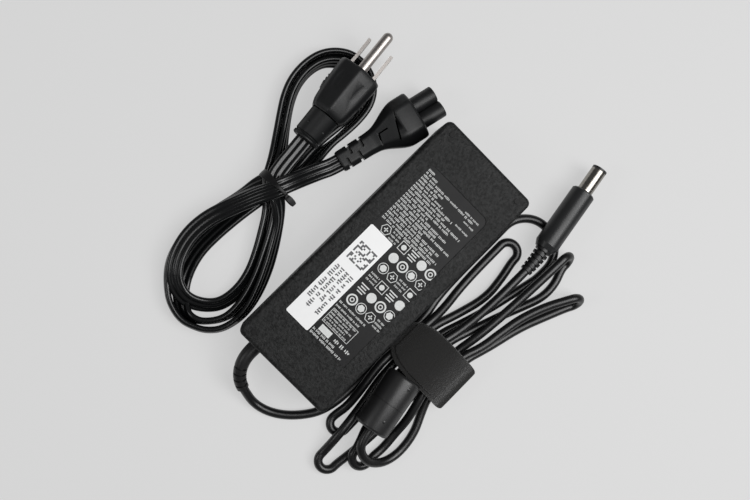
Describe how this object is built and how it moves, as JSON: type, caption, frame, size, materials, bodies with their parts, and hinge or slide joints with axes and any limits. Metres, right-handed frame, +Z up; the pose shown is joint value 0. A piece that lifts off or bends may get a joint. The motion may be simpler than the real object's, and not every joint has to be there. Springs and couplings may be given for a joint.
{
  "type": "laptop power adapter",
  "caption": "Slab-shaped laptop power adapter lying label side up, with a strapped low-voltage cord and round plug, and a tied mains lead beside it.",
  "frame": {"origin": "under the middle of the casing, on the surface that it lies on", "axes": "+X towards the mains inlet along the casing, +Y towards the mains lead, +Z up out of the label face"},
  "size_m": [0.1932, 0.1707, 0.0304],
  "materials": {
    "casing_plastic": "fine-grained moulded surface",
    "label_film": "smooth printed film",
    "sticker_paper": "semi-gloss paper",
    "inlet_plastic": "smooth moulding",
    "contact_metal": "nickel plated",
    "board_laminate": "solder mask",
    "clear_film": "insulating film",
    "fuse_ceramic": "glazed",
    "varistor_coating": "epoxy coated disc",
    "capacitor_case": "moulded case",
    "ferrite_ceramic": "sintered, matt",
    "copper_winding": "enamelled copper",
    "winding_tape": "polyester tape",
    "chip_plastic": "moulded epoxy",
    "can_sleeve": "shrink sleeve",
    "heatsink_metal": "pressed sheet",
    "wire_insulation": "insulated wire",
    "cord_jacket": "satin jacket",
    "moulded_relief": "satin moulding",
    "ferrite_cover": "smooth moulding",
    "strap_fabric": "woven hook-and-loop tape",
    "plug_plastic": "satin moulding",
    "barrel_metal": "plated sleeve",
    "ring_plastic": "insulating ring",
    "mains_moulding": "satin moulding",
    "blade_metal": "nickel plated brass",
    "tie_plastic": "moulded band"
  },
  "bodies": {
    "adapter": {"upper_shell": "casing_plastic", "lower_shell": "casing_plastic", "rating_label": "label_film", "white_sticker": "sticker_paper", "inlet_housing": "inlet_plastic", "inlet_pins": "contact_metal", "circuit_board": "board_laminate", "insulation_sheet": "clear_film", "fuse": "fuse_ceramic", "varistor": "varistor_coating", "x_capacitor": "capacitor_case", "mains_choke_core": "ferrite_ceramic", "mains_choke_windings": "copper_winding", "bridge_rectifier": "chip_plastic", "boost_inductor": "winding_tape", "bulk_capacitor": "can_sleeve", "primary_heatsink": "heatsink_metal", "switching_transistors": "chip_plastic", "transformer_core": "ferrite_ceramic", "transformer_coil": "winding_tape", "y_capacitor": "varistor_coating", "optocoupler": "chip_plastic", "secondary_heatsink": "heatsink_metal", "output_rectifier": "chip_plastic", "output_capacitors": "can_sleeve", "output_choke": "copper_winding", "control_chip": "chip_plastic", "output_wires": "wire_insulation", "dc_strain_relief": "moulded_relief", "dc_cord_start": "cord_jacket", "dc_cord_hank": "cord_jacket", "dc_cord_end": "cord_jacket", "ferrite_housing": "ferrite_cover", "ferrite_core": "ferrite_ceramic", "cord_strap": "strap_fabric", "plug_relief": "moulded_relief", "plug_body": "plug_plastic", "plug_barrel": "barrel_metal", "plug_tip_ring": "ring_plastic", "plug_centre_pin": "contact_metal"},
    "power_cord": {"connector_body": "mains_moulding", "connector_contacts": "contact_metal", "mains_cord_to_connector": "cord_jacket", "mains_cord_hank": "cord_jacket", "mains_plug_body": "mains_moulding", "mains_plug_blades": "blade_metal", "mains_plug_ground_pin": "blade_metal", "cord_tie": "tie_plastic"}
  },
  "joints": [
    {"name": "power_cord_lift", "type": "slide", "parent": "adapter", "child": "power_cord", "axis": [0, 0, 1], "range_m": [0, 0.06]}
  ]
}
